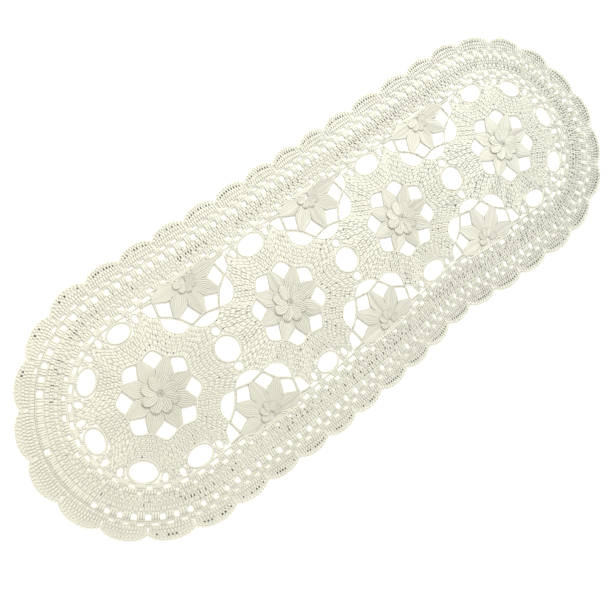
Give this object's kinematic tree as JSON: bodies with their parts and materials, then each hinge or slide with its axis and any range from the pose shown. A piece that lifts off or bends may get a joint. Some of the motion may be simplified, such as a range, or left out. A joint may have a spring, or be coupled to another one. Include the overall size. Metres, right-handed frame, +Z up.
{
  "type": "crochet table runner",
  "caption": "Oval cotton crochet table runner with pointed stars round raised flowers, half flowers between them, net, a dense band, square gaps and a scalloped edge.",
  "frame": {"origin": "centre of the runner's box, on the surface that it lies on", "axes": "+X along the runner, +Y across it, +Z up out of its right side"},
  "size_m": [0.915, 0.3304, 0.0039],
  "materials": {
    "cotton_lace": "matt natural cotton crochet thread",
    "cotton_petals": "matt natural cotton crochet thread"
  },
  "bodies": {
    "root": {"lace": "cotton_lace", "rosette_1": "cotton_petals", "rosette_2": "cotton_petals", "rosette_3": "cotton_petals", "rosette_4": "cotton_petals", "half_rosette_1": "cotton_petals", "half_rosette_2": "cotton_petals", "half_rosette_3": "cotton_petals", "half_rosette_4": "cotton_petals", "half_rosette_5": "cotton_petals", "half_rosette_6": "cotton_petals"}
  },
  "joints": []
}
